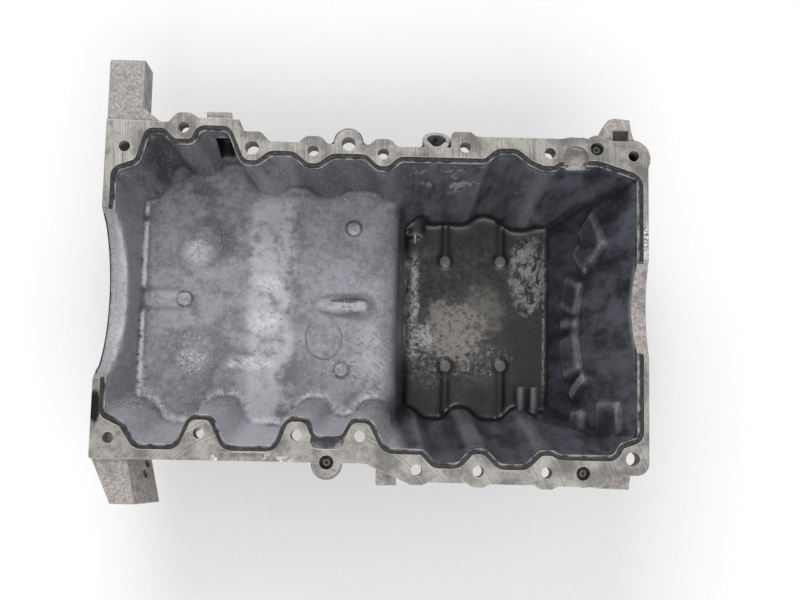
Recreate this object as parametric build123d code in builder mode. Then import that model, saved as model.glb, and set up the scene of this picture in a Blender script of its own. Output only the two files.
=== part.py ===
"""Cast aluminium engine oil pan: a shallow rear tray that steps down into a deep front sump.

Frame: the joint face to the engine block is z = 0 and faces +Z, +X runs from the gearbox end to the
front of the engine, and the origin is on the joint face, midway along and across the pan.
"""
from build123d import *
from math import cos, radians, sin, tan
import os

os.makedirs("parts", exist_ok=True)

# Bolt holes in the joint face, rear to front, as (x, y)
upper_bolts = [(-198.6, 119.4), (-152.6, 136.1), (-49.5, 119.8), (6.2, 118.9), (71.5, 125.9), (139.3, 122.8)]
lower_bolts = [(-200.6, -109.5), (-131.2, -104.7), (-56.1, -104.7), (-7.3, -104.7),
               (37.4, -129.7), (85.1, -129.7), (138.2, -129.7)]
wide_bolts = [(-98.1, 120.9), (-21.7, 126.2), (205.2, -117.8)]
captive_bolt_places = [(177.0, 127.3), (-32.3, -125.1), (166.7, -129.7)]
front_blind_hole = (206.4, 122.2)
bolt_hole_d = 8.8
wide_hole_d = 11.0
drill_depth = 45.0
blind_hole_depth = 16.0

# Joint face and walls
flange_t = 13.0
boss_t = 19.0
boss_r = 11.0
ear_r = 12.0
ear_drop = 4.0
ear_reach = 1.6
ledge_w = 4.0
ledge_drop = 2.0
lip_w = 1.2
wall_t = 5.0

# Depths below the joint face, and how far the walls lean in for each millimetre of depth
tray_depth = 72.0
sump_depth = 150.0
upper_slope = 0.155
lower_slope = 0.24
front_slope = 0.327
rear_slope = 0.15
sump_flute_slope = -0.03
step_x = 21.0
step_slope = 0.115
step_r = 10.0
sump_floor_r = 7.0

# A rounding takes at most this share of a side
longest_tangent = 0.48

# The four prisms of the walls overlap in the middle, and they and the side profile reach past the ends and the top
upper_reach_y = -30.0
lower_reach_y = 20.0
upper_overlap_x = (45.0, 60.0)
lower_overlap_x = (20.0, 36.0)
reach = 25.0
top = 1.0
hidden_r = 3.0

# Inside faces of the walls at the joint face
rear_x = -204.5
front_x = 210.0
flute_gap = 14.2
deep_flute_gap = 17.1

# Arched seats for the crankshaft seals, as drop below the joint face, half chord and middle
rear_arch_drop = 40.0
rear_arch_half = 67.0
rear_arch_y = 3.0
front_arch_drop = 11.0
front_arch_half = 39.0
front_arch_y = 0.0
arch_run = 30.0
face_clearance_x = 480.0
face_clearance_y = 420.0

# Gearbox plate and lugs at the rear
gearbox_x = -213.5
plate_t = 8.0
plate_depth = 84.0
lug_drop = 2.5
lug_t = 34.0
lug_top = 191.0
lug_w = 27.5
lug_chamfer = 3.0
lug_hole_d = 10.2
lug_hole_depth = 20.0
lug_hole_y = 172.0
foot_t = 38.0
foot_flare = 12.0
foot_corners = [(gearbox_x, -115), (gearbox_x, -124), (-197, -160), (-178, -160), (-186, -124), (-186, -115)]
foot_hole_d = 7.0
foot_hole_places = [(-137.3, -27.0), (-129.2, -33.0)]
foot_hole_x = (-160.0, -186.0)

# Stiffening ribs under the tray
under_rib_w = 5.0
under_rib_h = 7.0
under_rib_places = [-58.0, -20.0, 18.0, 56.0]

# Inside features
disc_r = 5.6
disc_h = 2.4
rib_w = 4.2
anchor = 2.0
dome_r = 21.0
dome_h = 4.0
bulge_r = 7.0
bulge_rear_x = -52.0
bulge_front_x = -8.0
bulge_y = 3.8
pad_h = 4.5
pad_draft = 22.0
pad_sink = 3.0
pad_corner_r = 4.0
pad_ring_r = 92.0
pad_ring_y = -8.0
pad_ring_depth = 16.0
post_r = 4.0
post_z = -138.0
post_inner_y = -58.0
post_length = 27.0
post_places = [135.0, 147.0]
dome_places = [(-144.4, 54.8), (-146.5, -37.7)]
tray_discs = [(-157.5, 6.8), (-16.9, 70.2), (-24.7, -50.0)]
tray_rib_w = 10.0
sump_discs = [(66.0, 55.3), (116.7, 56.5), (67.6, -40.3), (117.8, -39.1)]
sump_rib_run = 52.0

# Pads on the front wall: round the seal as (angle from straight down, width, height), then (y, depth, width, height)
ring_pads = [(54.8, 31, 41), (40.5, 17, 33), (18.2, 32, 33), (2.6, 11, 33), (-14.3, 38, 33), (-33.3, 12, 33)]
corner_pads = [(-88.8, 93, 21.6, 23.5), (-85.5, 43, 29, 39.5)]

# Pockets, notches and tabs round the joint face
front_pocket = (160.0, 119.0)
front_pocket_r = 10.5
front_pocket_depth = 8.0
lower_ledge_pocket = (-32.0, -108.5)
lower_ledge_pocket_size = (26.0, 13.0)
lower_ledge_pocket_r = 6.0
pry_notch = [(-66.0, -127.0), (-75.0, -119.5), (-84.0, -127.0)]
pry_notch_depth = 6.0
edge_recess = (-97.5, -124.0)
edge_recess_size = (35.0, 10.0)
edge_recess_depth = 3.0
wall_slot = (-123.5, 130.0)
wall_slot_size = (11.0, 22.0)
wall_slot_top = 15.0
wall_slot_bottom = 55.0
front_ring_r = 15.5
front_ring_top = 9.0
front_ring_bottom = 26.0
bracket_pocket = (196.5, 139.0)
bracket_pocket_size = (13.0, 10.0)
bracket_pocket_depth = 16.0

# Cast tabs as (corners, top, bottom), with depths below the joint face
edge_tabs = [
    ([(-135.5, 138), (-135.5, 150.6), (-116, 150.6), (-116, 138)], 6, 13),
    ([(-137, 130), (-137, 146), (-110, 146), (-110, 130)], 10, 60),
    ([(6, -126), (6, -142), (22, -142), (22, -130)], 8, 13),
    ([(179, -120), (179, -141), (203, -141.5), (205, -125)], 6, 30),
    ([(190, 124), (183, 134.5), (183, 146), (186, 151.8), (191, 153.8), (203.5, 152.5), (205, 143), (209, 130)], 4, 28)]

# Side port on the upper edge
port_place = (48.5, 132.5, -4.0)
port_tilt = 47.0
port_r = 7.7
port_wall = 3.6
port_length = 30.0
port_depth = 14.0

# Drain boss, plug and washer, on the upper side of the sump
drain_x = 37.5
drain_z = -138.5
drain_boss_r = 10.0
drain_boss_inner_y = 77.0
drain_face_y = 102.0
drain_thread_d = 14.0
plug_clearance = 0.2
plug_head_af = 17.0
plug_head_h = 8.0
plug_tip_d = 4.0
plug_tip_h = 7.0
washer_t = 1.6
washer_r = 10.0

# Captive bolts
captive_d = 10.0
captive_end = 4.0
dog_d = 4.6
dog_h = 1.6
captive_flange_r = 8.5
captive_flange_t = 2.0
captive_head_af = 13.0
captive_head_h = 7.0

# Sealant left on the ledge
sealant_gap = 0.3
sealant_h = 1.2


def flute(hole, gap, before, after, radius, side=1):
    """Two corners of a flute: the wall bulges inwards round a bolt hole, gap away from its centre."""
    x, y = hole
    crest = y - side * gap
    return [(x - side * before, crest, radius), (x + side * after, crest, radius)]


def bay(first_x, last_x, y, radius):
    """Two corners of the straight stretch of wall between two flutes."""
    return [(first_x, y, radius), (last_x, y, radius)]


# Corners of the inside of the wall at the joint face, clockwise from the upper rear, as (x, y, radius)
upper_bay = 114.0
lower_bay = -113.8
sump_bay = -124.0
upper_wall = [
    (rear_x, 99.5, 6), (-186.5, 106, 10), *bay(-179.5, -169.5, 131, 4),
    *flute(upper_bolts[1], 13.5, 8.5, 8.5, 8), *bay(-139, -118.5, 134, 6),
    *flute(wide_bolts[0], flute_gap, 8.5, 5.5, 11), *bay(-82.8, -66.5, upper_bay + 1, 8),
    *flute(upper_bolts[2], flute_gap, 5.5, 5.5, 12), *bay(-33.5, -9, upper_bay, 8),
    *flute(upper_bolts[3], flute_gap, 5.5, 5.5, 12), (21, upper_bay - 1, 8)]
sump_upper_wall = [
    (88.5, upper_bay - 1, 8), *bay(99, 111.5, 121.8, 8), (123, 112.8, 8),
    *flute(upper_bolts[5], flute_gap, 5.8, 4.7, 9), (149, 112.2, 4), (178, 113.6, 9), (front_x, 103.4, 9)]
sump_lower_wall = [
    (front_x, -101.2, 6), (195.5, -106.5, 6), (190, -115.8, 6), (149, -115.8, 7),
    *flute(lower_bolts[6], deep_flute_gap, 5.3, 5.2, 7, -1), *bay(121.5, 102.5, sump_bay, 8),
    *flute(lower_bolts[5], deep_flute_gap, 6, 6, 9, -1), *bay(69, 52, sump_bay, 8), (42.5, lower_bay, 7)]
lower_wall = [
    (13.5, lower_bay, 11), *flute(lower_bolts[3], flute_gap, 9.5, 8, 10, -1), *bay(-22.5, -40.5, -105, 6),
    *flute(lower_bolts[2], flute_gap, 9.2, 9.2, 10, -1), *bay(-74, -110, lower_bay, 8),
    *flute(lower_bolts[1], flute_gap, 10.2, 8.8, 10, -1), *bay(-150, -178.5, lower_bay, 7),
    (-189.5, -97.5, 8), (rear_x, -90.5, 6)]
tray_corners = upper_wall + sump_upper_wall + sump_lower_wall + lower_wall

# Corners of the outside edge of the joint face, clockwise from the upper rear
edge_corners = [
    (gearbox_x, 141, 2), *bay(-169.5, -164.8, 140, 2), *bay(-157.8, -147.5, 148.2, 8), *bay(-141.5, -115.5, 144.2, 3),
    *bay(-105, -91.5, 134.2, 6), *bay(-84.5, -61.8, 126.5, 5), *bay(-55, -44, 131.8, 7), *bay(-38, -5.5, 125.6, 5),
    *bay(0.5, 11.8, 130.8, 7), (17.2, 124.9, 5), (60, 124.9, 0.8), *bay(60, 75.5, 138.3, 4), *bay(80.5, 148, 134.8, 5),
    *bay(155, 166, 136.2, 7), (172, 134.4, 5), (218, 134.4, 12), (218, -130.6, 12), (197, -130.6, 6),
    *bay(181, 146.5, -140, 5), *bay(142.5, 134, -142.4, 4), *bay(129.5, 94, -139.4, 4), *bay(89.5, 81, -142, 4),
    *bay(76.5, 46.5, -138.9, 4), *bay(42, 33, -141, 4), (28.5, -138.9, 4), (-2, -125.6, 9), (gearbox_x - 1, -125.6, 2)]


def grow(corners, distance):
    """Moves every straight side of a clockwise outline outwards, and each rounding with it."""
    grown = []
    for i, (x, y, radius) in enumerate(corners):
        x_before, y_before, _ = corners[i - 1]
        x_after, y_after, _ = corners[(i + 1) % len(corners)]
        heading_in = Vector(x - x_before, y - y_before).normalized()
        heading_out = Vector(x_after - x, y_after - y).normalized()
        normal_in = Vector(-heading_in.Y, heading_in.X)
        normal_out = Vector(-heading_out.Y, heading_out.X)
        shift = (normal_in + normal_out) * (distance / (1 + normal_in.dot(normal_out)))
        bends_out = heading_in.cross(heading_out).Z < 0
        new_radius = radius + distance if bends_out else radius - distance
        grown.append((x + shift.X, y + shift.Y, max(new_radius, 0.8)))
    return grown


def beyond(corner, last):
    """The corner on the line from one corner to the last one, past the front wall."""
    share = (front_x + reach - corner[0]) / (last[0] - corner[0])
    return (front_x + reach, corner[1] + share * (last[1] - corner[1]), hidden_r)


def outline(corners):
    """Straight sides joined by tangent arcs, each limited by the shorter side beside it."""
    arcs = []
    for i, (x, y, radius) in enumerate(corners):
        corner = Vector(x, y)
        back = Vector(*corners[i - 1][:2]) - corner
        on = Vector(*corners[(i + 1) % len(corners)][:2]) - corner
        half = radians(back.get_angle(on) / 2)
        radius = min(radius, longest_tangent * min(back.length, on.length) * tan(half))
        back = back.normalized()
        on = on.normalized()
        middle = corner + (back + on).normalized() * (radius / sin(half) - radius)
        arcs.append((corner + back * (radius / tan(half)), middle, corner + on * (radius / tan(half))))
    with BuildLine() as line:
        for (_, _, start), (end, middle, after) in zip([arcs[-1], *arcs], arcs):
            Line(start, end)
            ThreePointArc(end, middle, after)
    return line.edges()


def arch_radius(drop, half):
    """Radius of the circle whose arc drops by drop over a chord of twice half."""
    return (half ** 2 + drop ** 2) / (2 * drop)


# Plan of the walls as four rings, each with its lean along and across the pan
upper_y = upper_wall[-1][1]
lower_y = lower_wall[0][1]
upper_rear = [*upper_wall, (upper_overlap_x[1], upper_y, hidden_r),
              (upper_overlap_x[1], upper_reach_y, hidden_r), (rear_x, upper_reach_y, hidden_r)]
upper_front = [(upper_overlap_x[0], upper_y, hidden_r), *sump_upper_wall[:-1], beyond(*sump_upper_wall[-2:]),
               (front_x + reach, upper_reach_y, hidden_r), (upper_overlap_x[0], upper_reach_y, hidden_r)]
lower_front = [beyond(*sump_lower_wall[1::-1]), *sump_lower_wall[1:], (lower_overlap_x[0], lower_y, hidden_r),
               (lower_overlap_x[0], lower_reach_y, hidden_r), (front_x + reach, lower_reach_y, hidden_r)]
lower_rear = [(lower_overlap_x[1], lower_y, hidden_r), *lower_wall,
              (rear_x, lower_reach_y, hidden_r), (lower_overlap_x[1], lower_reach_y, hidden_r)]
wall_prisms = [(upper_rear, rear_slope, -upper_slope), (upper_front, sump_flute_slope, -upper_slope),
               (lower_front, sump_flute_slope, lower_slope), (lower_rear, rear_slope, lower_slope)]


def front_at(depth):
    """Where the inside of the front wall is, at a depth."""
    return front_x - front_slope * depth


# Side view of the hollow: tray floor, rounded step, sump floor and front wall, as (x, z, radius)
side_profile = [
    (rear_x - reach, top, hidden_r), (front_at(-top), top, hidden_r), (front_at(sump_depth), -sump_depth, sump_floor_r),
    (step_x + step_slope * (sump_depth - tray_depth), -sump_depth, sump_floor_r), (step_x, -tray_depth, step_r),
    (rear_x - reach, -tray_depth, hidden_r)]


def pan_body(growth):
    """The hollow grown by a distance: slanted prisms of the plan, cut to the side profile."""
    with BuildPart() as body:
        for corners, x_slope, y_slope in wall_prisms:
            down = Vector(x_slope, y_slope, -1)
            with BuildSketch(Plane(down * -top)):
                make_face(outline(grow(corners, growth)))
            extrude(amount=down.length * (top + sump_depth + reach), dir=down)
        with BuildSketch(Plane.XZ):
            make_face(outline(grow(side_profile, growth)))
        extrude(amount=face_clearance_y / 2, both=True, mode=Mode.INTERSECT)
    return body.part


# Cuts that the joint face and the sealant on it share: the two seal arches and a pocket at the front
with BuildPart() as face_cuts:
    rear_arch_r = arch_radius(rear_arch_drop, rear_arch_half)
    with BuildSketch(Plane.YZ.offset(gearbox_x - 1)):
        with Locations((rear_arch_y, rear_arch_r - rear_arch_drop)):
            Circle(rear_arch_r)
    extrude(amount=arch_run)
    front_arch_r = arch_radius(front_arch_drop, front_arch_half)
    with BuildSketch(Plane.YZ.offset(front_x - arch_run / 2)):
        with Locations((front_arch_y, front_arch_r - front_arch_drop)):
            Circle(front_arch_r)
    extrude(amount=arch_run)
    with BuildSketch():
        with Locations(front_pocket):
            Circle(front_pocket_r)
    extrude(amount=-front_pocket_depth)

# Low dome cast into the tray floor, and an oil gallery that rises out of it
with BuildPart() as dome:
    with BuildSketch(Plane.XZ):
        with BuildLine():
            Polyline((0, -anchor), (dome_r, -anchor), (dome_r, 0), (dome_r * 0.7, dome_h * 0.5),
                     (dome_r * 0.38, dome_h * 0.86), (0, dome_h), close=True)
        make_face()
    revolve(axis=Axis.Z)

with BuildPart() as gallery:
    gallery_rise = Vector(bulge_front_x - bulge_rear_x, 0, bulge_r)
    with BuildSketch(Plane((bulge_rear_x, bulge_y, -tray_depth - bulge_r), x_dir=(0, 1, 0), z_dir=gallery_rise)):
        Circle(bulge_r)
    extrude(amount=gallery_rise.length)
    with Locations((bulge_front_x, bulge_y, -tray_depth)):
        Sphere(bulge_r)
    split(bisect_by=Plane.XY.offset(-tray_depth - anchor), keep=Keep.TOP)


def front_wall(y, depth, sink):
    """Plane sunk into the inside of the front wall, its x along +Y and its y down the wall."""
    return Plane((front_at(depth), y, -depth), x_dir=(0, 1, 0), z_dir=(-1, 0, front_slope)).offset(-sink)


all_holes = upper_bolts + lower_bolts + wide_bolts + captive_bolt_places
port_plane = Plane(port_place, x_dir=(1, 0, 0), z_dir=(0, sin(radians(port_tilt)), cos(radians(port_tilt))))
drain_plane = Plane((drain_x, drain_face_y, drain_z), x_dir=(1, 0, 0), z_dir=(0, 1, 0))
pad_spread = 2 * pad_sink * tan(radians(pad_draft))

# Features inside the walls: domes, gallery, discs with their ribs, posts and pads
with BuildPart() as inside_features:
    with Locations(*[(x, y, -tray_depth) for x, y in dome_places]):
        add(dome.part)
    add(gallery.part)
    with BuildSketch(Plane.XY.offset(-tray_depth - anchor)):
        with Locations(*tray_discs):
            Circle(disc_r)
        with Locations(((tray_discs[0][0] + rear_x) / 2, tray_discs[0][1])):
            Rectangle(tray_discs[0][0] - rear_x, tray_rib_w)
    extrude(amount=anchor + disc_h)
    with BuildSketch(Plane.XY.offset(-sump_depth - anchor)):
        for x, y in sump_discs:
            with Locations((x, y)):
                Circle(disc_r)
            with Locations((x, y + sump_rib_run / 2 * (1 if y > 0 else -1))):
                Rectangle(rib_w, sump_rib_run)
    extrude(amount=anchor + disc_h)
    with BuildSketch(Plane((0, post_inner_y, post_z), x_dir=(1, 0, 0), z_dir=(0, -1, 0))):
        with Locations(*[(x, 0) for x in post_places]):
            Circle(post_r)
    extrude(amount=post_length)
    for angle, width, height in ring_pads:
        pad_y = pad_ring_y + pad_ring_r * sin(radians(angle))
        pad_depth = pad_ring_depth + pad_ring_r * cos(radians(angle))
        with BuildSketch(front_wall(pad_y, pad_depth, pad_sink)):
            RectangleRounded(width + pad_spread, height + pad_spread, pad_corner_r, rotation=-angle)
        extrude(amount=pad_sink + pad_h, taper=pad_draft)
    for pad_y, pad_depth, width, height in corner_pads:
        with BuildSketch(front_wall(pad_y, pad_depth, pad_sink)):
            RectangleRounded(width + pad_spread, height + pad_spread, pad_corner_r)
        extrude(amount=pad_sink + pad_h, taper=pad_draft)
    add(pan_body(wall_t / 2), mode=Mode.INTERSECT)

with BuildPart() as pan_casting:
    add(pan_body(wall_t))

    # Joint face with a boss under each hole, and two lower ears
    with BuildSketch():
        make_face(outline(edge_corners))
    extrude(amount=-flange_t)
    with BuildSketch():
        with Locations(*all_holes):
            Circle(boss_r)
    extrude(amount=-boss_t)
    with BuildSketch(Plane.XY.offset(-ear_drop)):
        for (x, y), side in ((wide_bolts[1], 1), (captive_bolt_places[1], -1)):
            with Locations((x, y + side * ear_reach)):
                Circle(ear_r)
    extrude(amount=ear_drop - boss_t)

    # Gearbox plate and its upper lug and lower foot
    with BuildSketch(Plane.YZ.offset(gearbox_x)):
        with BuildLine():
            Polyline((edge_corners[-1][1], 0), (edge_corners[0][1], 0), (edge_corners[0][1] - 12, -plate_depth * 0.7),
                     (90, -plate_depth), (-75, -plate_depth), (edge_corners[-1][1] + 12, -plate_depth * 0.7), close=True)
        make_face()
    extrude(amount=plate_t)
    with BuildSketch(Plane.XY.offset(-lug_drop)):
        with BuildLine():
            Polyline((gearbox_x, 100), (gearbox_x, lug_top), (gearbox_x + lug_w, lug_top), (gearbox_x + lug_w, 152),
                     (gearbox_x + lug_w + 14, 141), (gearbox_x + lug_w + 14, 125), close=True)
        make_face()
    extrude(amount=-lug_t)
    chamfer(edges().filter_by(Axis.X).group_by(Axis.Y)[-1].sort_by(Axis.Z)[-1], lug_chamfer)
    for flare in (0, foot_flare):
        down = Vector(flare, 0, -foot_t)
        with BuildSketch(Plane.XY.offset(-lug_drop)):
            with BuildLine():
                Polyline(*foot_corners, close=True)
            make_face()
        extrude(amount=down.length, dir=down)

    # Cast tabs and brackets round the edge
    for corners, top, bottom in edge_tabs:
        with BuildSketch(Plane.XY.offset(-top)):
            with BuildLine():
                Polyline(*corners, close=True)
            make_face()
        extrude(amount=top - bottom)
    with BuildSketch(Plane.XY.offset(-front_ring_top)):
        with Locations(front_blind_hole):
            Circle(front_ring_r)
    extrude(amount=front_ring_top - front_ring_bottom)
    with BuildSketch(port_plane):
        Circle(port_r + port_wall)
    extrude(amount=-port_length)
    with BuildSketch(Plane.XY.offset(-tray_depth - wall_t - under_rib_h)):
        for y in under_rib_places:
            with Locations(((gearbox_x + step_x) / 2 + plate_t / 2, y)):
                Rectangle(step_x - gearbox_x - plate_t, under_rib_w)
    extrude(amount=under_rib_h + anchor)

    # Hollows, ledge, arches and holes
    add(pan_body(0), mode=Mode.SUBTRACT)
    with BuildSketch():
        make_face(outline(grow(tray_corners, ledge_w)))
        with Locations(lower_ledge_pocket):
            RectangleRounded(*lower_ledge_pocket_size, lower_ledge_pocket_r)
    extrude(amount=-ledge_drop, mode=Mode.SUBTRACT)
    add(face_cuts.part, mode=Mode.SUBTRACT)
    with BuildSketch():
        with Locations(*upper_bolts, *lower_bolts):
            Circle(bolt_hole_d / 2)
        with Locations(*wide_bolts, *captive_bolt_places):
            Circle(wide_hole_d / 2)
    extrude(amount=-drill_depth, mode=Mode.SUBTRACT)
    with BuildSketch():
        with Locations(front_blind_hole):
            Circle(bolt_hole_d / 2)
    extrude(amount=-blind_hole_depth, mode=Mode.SUBTRACT)

    with BuildSketch():
        with BuildLine():
            Polyline(*pry_notch, close=True)
        make_face()
    extrude(amount=-pry_notch_depth, mode=Mode.SUBTRACT)
    with BuildSketch():
        with Locations(edge_recess):
            Rectangle(*edge_recess_size)
    extrude(amount=-edge_recess_depth, mode=Mode.SUBTRACT)
    with BuildSketch(Plane.XY.offset(-wall_slot_top)):
        with Locations(wall_slot):
            Rectangle(*wall_slot_size)
    extrude(amount=wall_slot_top - wall_slot_bottom, mode=Mode.SUBTRACT)
    with BuildSketch():
        with Locations(bracket_pocket):
            Rectangle(*bracket_pocket_size)
    extrude(amount=-bracket_pocket_depth, mode=Mode.SUBTRACT)
    with BuildSketch(port_plane):
        Circle(port_r)
    extrude(amount=-port_depth, mode=Mode.SUBTRACT)
    with BuildSketch(Plane.YZ.offset(gearbox_x)):
        with Locations((lug_hole_y, -lug_drop - lug_t / 2)):
            Circle(lug_hole_d / 2)
    extrude(amount=lug_hole_depth, mode=Mode.SUBTRACT)
    with BuildSketch(Plane.YZ.offset(foot_hole_x[0])):
        with Locations(*foot_hole_places):
            Circle(foot_hole_d / 2)
    extrude(amount=foot_hole_x[1] - foot_hole_x[0], mode=Mode.SUBTRACT)
    with BuildSketch(Plane.XY):
        Rectangle(face_clearance_x, face_clearance_y)
    extrude(amount=port_length, mode=Mode.SUBTRACT)

    # Features inside, and the drain boss with its hole
    add(inside_features.part)
    with BuildSketch(drain_plane):
        Circle(drain_boss_r)
    extrude(amount=drain_boss_inner_y - drain_face_y)
    with BuildSketch(drain_plane):
        Circle(drain_thread_d / 2)
    extrude(amount=drain_boss_inner_y - drain_face_y, mode=Mode.SUBTRACT)
pan_casting.part.label = "pan_casting"

with BuildPart() as sealant_bead:
    with BuildSketch(Plane.XY.offset(-ledge_drop)):
        make_face(outline(grow(tray_corners, ledge_w - sealant_gap)))
        make_face(outline(grow(tray_corners, lip_w)), mode=Mode.SUBTRACT)
    extrude(amount=sealant_h)
    add(face_cuts.part, mode=Mode.SUBTRACT)
sealant_bead.part.label = "sealant_bead"

with BuildPart() as captive_bolts:
    shank_top = captive_end + dog_h
    with BuildSketch(Plane.XY.offset(-boss_t)):
        with Locations(*captive_bolt_places):
            Circle(captive_d / 2)
    extrude(amount=boss_t - shank_top)
    with BuildSketch(Plane.XY.offset(-shank_top)):
        with Locations(*captive_bolt_places):
            Circle(dog_d / 2)
    extrude(amount=dog_h)
    with BuildSketch(Plane.XY.offset(-boss_t)):
        with Locations(*captive_bolt_places):
            Circle(captive_flange_r)
    extrude(amount=-captive_flange_t)
    with BuildSketch(Plane.XY.offset(-boss_t - captive_flange_t)):
        with Locations(*captive_bolt_places):
            RegularPolygon(captive_head_af / 2, 6, major_radius=False)
    extrude(amount=-captive_head_h)
captive_bolts.part.label = "captive_bolts"

with BuildPart() as drain_washer:
    with BuildSketch(drain_plane):
        Circle(washer_r)
        Circle(drain_thread_d / 2 + plug_clearance, mode=Mode.SUBTRACT)
    extrude(amount=washer_t)
drain_washer.part.label = "drain_washer"

plug_plane = drain_plane.offset(washer_t)
plug_shank = drain_face_y + washer_t - drain_boss_inner_y
with BuildPart() as drain_plug:
    with BuildSketch(plug_plane):
        RegularPolygon(plug_head_af / 2, 6, major_radius=False)
    extrude(amount=plug_head_h)
    with BuildSketch(plug_plane):
        Circle(drain_thread_d / 2 - plug_clearance)
    extrude(amount=-plug_shank)
    with BuildSketch(plug_plane.offset(-plug_shank)):
        Circle(plug_tip_d / 2)
    extrude(amount=-plug_tip_h)
drain_plug.part.label = "drain_plug"

for piece in (pan_casting, sealant_bead, captive_bolts, drain_washer, drain_plug):
    export_step(piece.part, f"parts/{piece.part.label}.step")
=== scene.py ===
# %% [markdown]
# # A used engine oil pan
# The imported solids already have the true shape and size, so they are the frame of this lesson. What is
# still missing is everything that a foundry, a milling cutter, hot oil and a scraper leave on such a
# casting.

# %% Load the frame
from functools import reduce
from math import inf, radians
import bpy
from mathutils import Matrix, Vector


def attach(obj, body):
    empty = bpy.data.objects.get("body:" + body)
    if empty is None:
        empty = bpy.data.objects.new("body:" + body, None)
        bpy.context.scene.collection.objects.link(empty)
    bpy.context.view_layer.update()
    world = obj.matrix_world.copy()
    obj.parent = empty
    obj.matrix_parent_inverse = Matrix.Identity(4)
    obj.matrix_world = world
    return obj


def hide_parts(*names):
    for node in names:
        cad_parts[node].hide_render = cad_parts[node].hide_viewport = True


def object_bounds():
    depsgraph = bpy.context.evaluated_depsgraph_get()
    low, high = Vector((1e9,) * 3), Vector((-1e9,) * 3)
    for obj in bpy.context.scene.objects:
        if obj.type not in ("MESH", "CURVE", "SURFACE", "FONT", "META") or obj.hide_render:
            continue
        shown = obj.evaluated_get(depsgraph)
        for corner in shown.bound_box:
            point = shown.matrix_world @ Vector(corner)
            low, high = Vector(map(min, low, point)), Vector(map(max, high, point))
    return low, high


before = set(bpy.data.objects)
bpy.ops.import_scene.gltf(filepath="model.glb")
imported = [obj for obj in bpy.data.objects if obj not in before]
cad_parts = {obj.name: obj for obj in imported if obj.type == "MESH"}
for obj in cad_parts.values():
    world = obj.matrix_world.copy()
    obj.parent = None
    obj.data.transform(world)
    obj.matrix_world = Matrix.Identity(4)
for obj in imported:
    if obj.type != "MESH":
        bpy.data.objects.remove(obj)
from types import SimpleNamespace

import bmesh
import bpy
import numpy as np
from mathutils import Euler, Matrix, Vector
from mathutils.bvhtree import BVHTree

mm = 0.001
cad_box = np.array(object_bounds())
print("CAD box in mm:", np.round(cad_box / mm, 1).tolist())

# %% [markdown]
# ## Sums on surfaces
# A stain or a scratch is a number that changes over the surface. It could be wired by hand from Math
# nodes, but that hides the sum. So a small class wraps a socket, and Python's own operators add the
# nodes.


# %% Values that change over a surface
class Value:
    """A number that changes over a surface; the operators on it add Math nodes."""

    def __init__(self, finish, socket):
        self.finish = finish
        self.socket = socket

    def sum(self, operation, a, b=0.0):
        node = self.finish.node("ShaderNodeMath", {"operation": operation}, {0: a, 1: b})
        return Value(self.finish, node.outputs[0])

    def __add__(self, other):
        return self.sum("ADD", self, other)

    def __radd__(self, other):
        return self.sum("ADD", other, self)

    def __sub__(self, other):
        return self.sum("SUBTRACT", self, other)

    def __rsub__(self, other):
        return self.sum("SUBTRACT", other, self)

    def __mul__(self, other):
        return self.sum("MULTIPLY", self, other)

    def __rmul__(self, other):
        return self.sum("MULTIPLY", other, self)

    def __truediv__(self, other):
        return self.sum("DIVIDE", self, other)

    def __rtruediv__(self, other):
        return self.sum("DIVIDE", other, self)

    def __abs__(self):
        return self.sum("ABSOLUTE", self)

    def root(self):
        return self.sum("SQRT", self)

    def most(self, other):
        return self.sum("MAXIMUM", self, other)

    def rise(self, low, high):
        """0 below low, 1 above high and a smooth step between; with low above high it falls instead."""
        node = self.finish.node("ShaderNodeMapRange", {"interpolation_type": "SMOOTHSTEP"},
                                {"Value": self, "From Min": low, "From Max": high})
        return Value(self.finish, node.outputs[0])

    def within(self, low, high, soft):
        """1 between low and high, with edges that are soft on both sides."""
        return self.rise(low - soft, low + soft) * self.rise(high + soft, high - soft)


print("values can be added, multiplied and compared")

# %% [markdown]
# ## Patterns and colours
# Every finish here is one shader with a few patterns: noise for grain, arcs for a cutter, ellipses for
# stains. They could be painted as images, but then they would have one fixed resolution. Formulas in the
# piece's own coordinates stay sharp, and a stain's place can be read in millimetres from the frame.


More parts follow.
